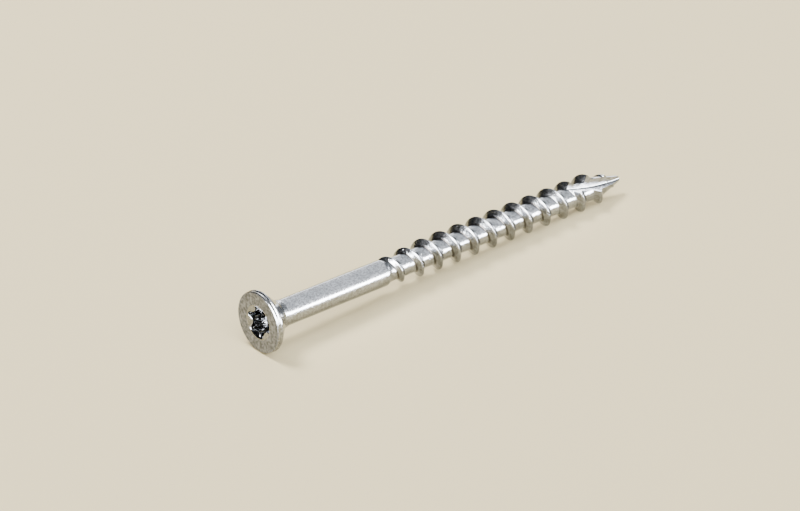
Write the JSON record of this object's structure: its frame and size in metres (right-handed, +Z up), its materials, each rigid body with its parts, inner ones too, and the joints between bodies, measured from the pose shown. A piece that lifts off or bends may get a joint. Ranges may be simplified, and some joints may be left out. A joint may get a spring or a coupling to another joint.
{
  "type": "wood screw",
  "caption": "Countersunk six-lobe-drive wood screw with a plain shank, a coarse single-start right-hand thread and a fluted self-drilling point, lying on a surface.",
  "frame": {"origin": "on the surface that the screw lies on, under the middle of its overall length", "axes": "+X runs from the head to the point along the surface, +Z is up; the screw's own axis lies in the XZ plane and tips down towards the point by 1.90 degrees, because it rests on the head's rim and on the thread"},
  "size_m": [0.0636, 0.0086, 0.0086],
  "materials": {
    "head_steel": "tumbled stainless steel, dull pitted face, bright worn rim and recess walls",
    "shank_steel": "satin tumbled stainless steel with fine drawing lines",
    "thread_steel": "rolled stainless steel, bright, with small pits in the core",
    "point_steel": "milled stainless steel, bright flute with fine cutter lines"
  },
  "bodies": {
    "root": {"head": "head_steel", "neck": "shank_steel", "shank": "shank_steel", "thread_core": "thread_steel", "thread": "thread_steel", "cut_point": "point_steel"}
  },
  "joints": []
}
